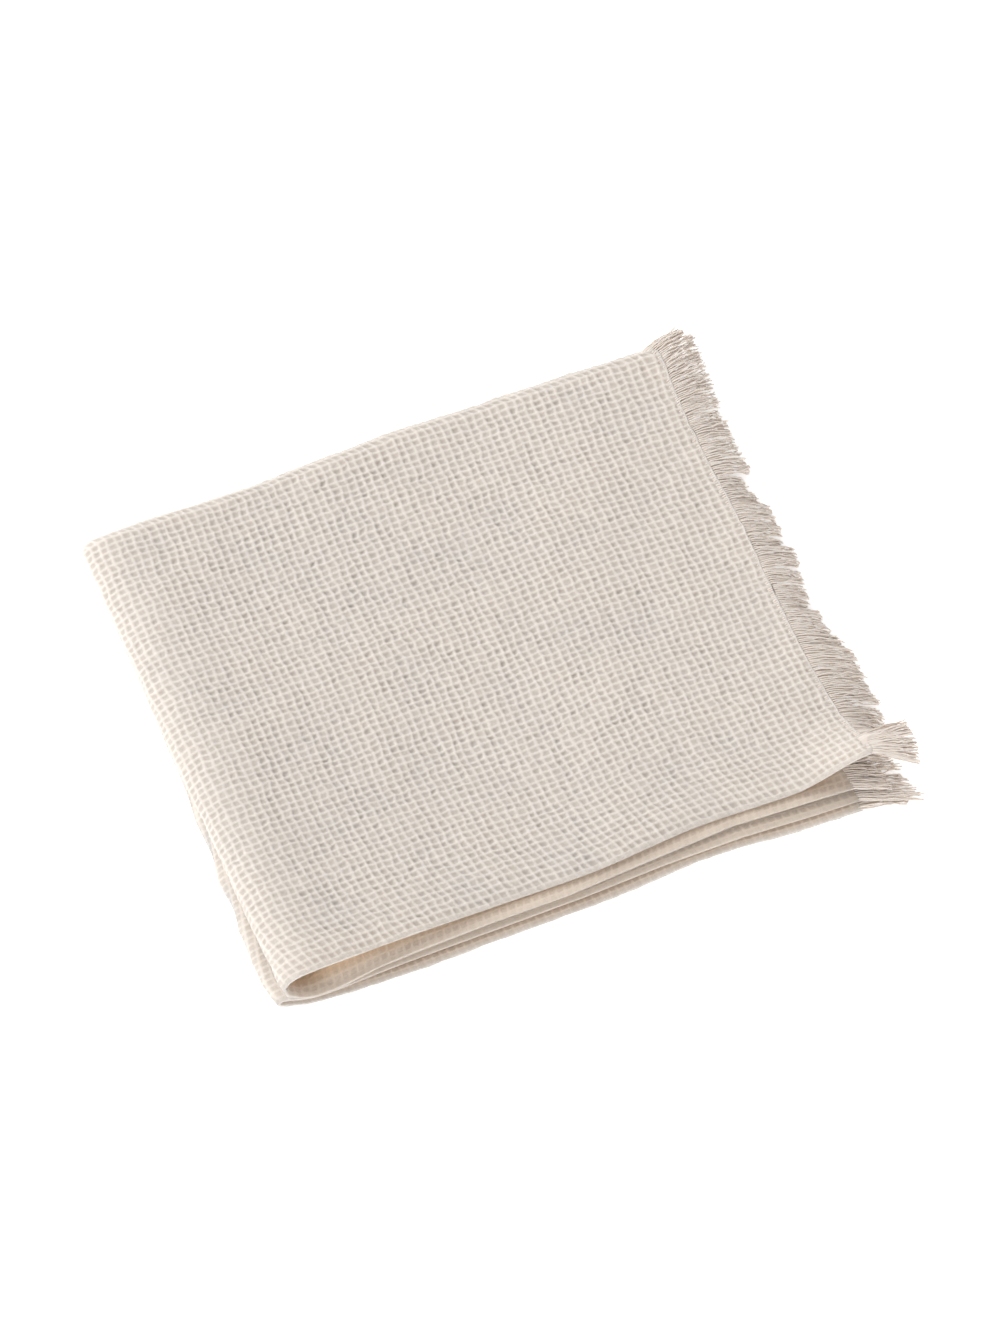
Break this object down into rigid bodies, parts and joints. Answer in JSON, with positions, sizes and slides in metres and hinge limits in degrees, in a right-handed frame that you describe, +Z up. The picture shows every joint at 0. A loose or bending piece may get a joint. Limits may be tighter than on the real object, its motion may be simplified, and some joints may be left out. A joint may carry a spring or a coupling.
{
  "type": "folded waffle towel",
  "caption": "Waffle-weave cotton towel folded twice into a flat four-layer pack, with fringed ends along one side.",
  "frame": {"origin": "middle of the box's base, on the surface that the folded towel rests on", "axes": "+X from the folded end to the fringed ends, +Y from the four free selvedges to the back fold, +Z up through the layers"},
  "size_m": [0.3496, 0.2842, 0.0315],
  "materials": {
    "waffle_cotton": "matte woven cotton with a raised waffle grid, off white",
    "fringe_cotton": "matte loose cotton yarn, off white"
  },
  "bodies": {
    "root": {"towel": "waffle_cotton", "fringe_top": "fringe_cotton", "fringe_second": "fringe_cotton", "fringe_third": "fringe_cotton", "fringe_bottom": "fringe_cotton"}
  },
  "joints": []
}
